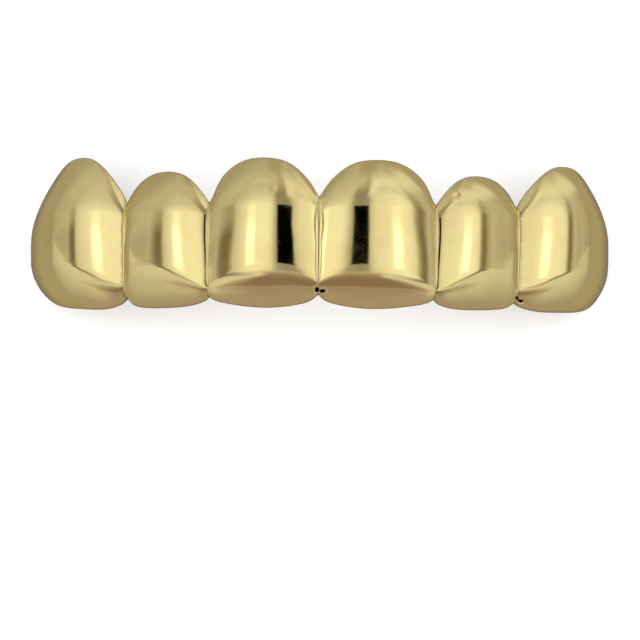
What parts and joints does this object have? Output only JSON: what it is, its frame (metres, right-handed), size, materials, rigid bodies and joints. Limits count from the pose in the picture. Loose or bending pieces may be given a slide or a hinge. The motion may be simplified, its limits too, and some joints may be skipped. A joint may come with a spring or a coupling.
{
  "type": "grillz tooth cover",
  "caption": "Rigid shell of joined tooth caps, hollow towards the gums, that is worn over the upper front teeth.",
  "frame": {"origin": "under the middle of the bounding box, on the surface that the cover lies on", "axes": "+X across the arch, to the right seen from the front; +Y from the biting edge to the gums; +Z out of the faces"},
  "size_m": [0.0464, 0.0124, 0.0136],
  "materials": {
    "gold_plate": "polished"
  },
  "bodies": {
    "root": {"six_tooth_cover": "gold_plate"}
  },
  "joints": []
}
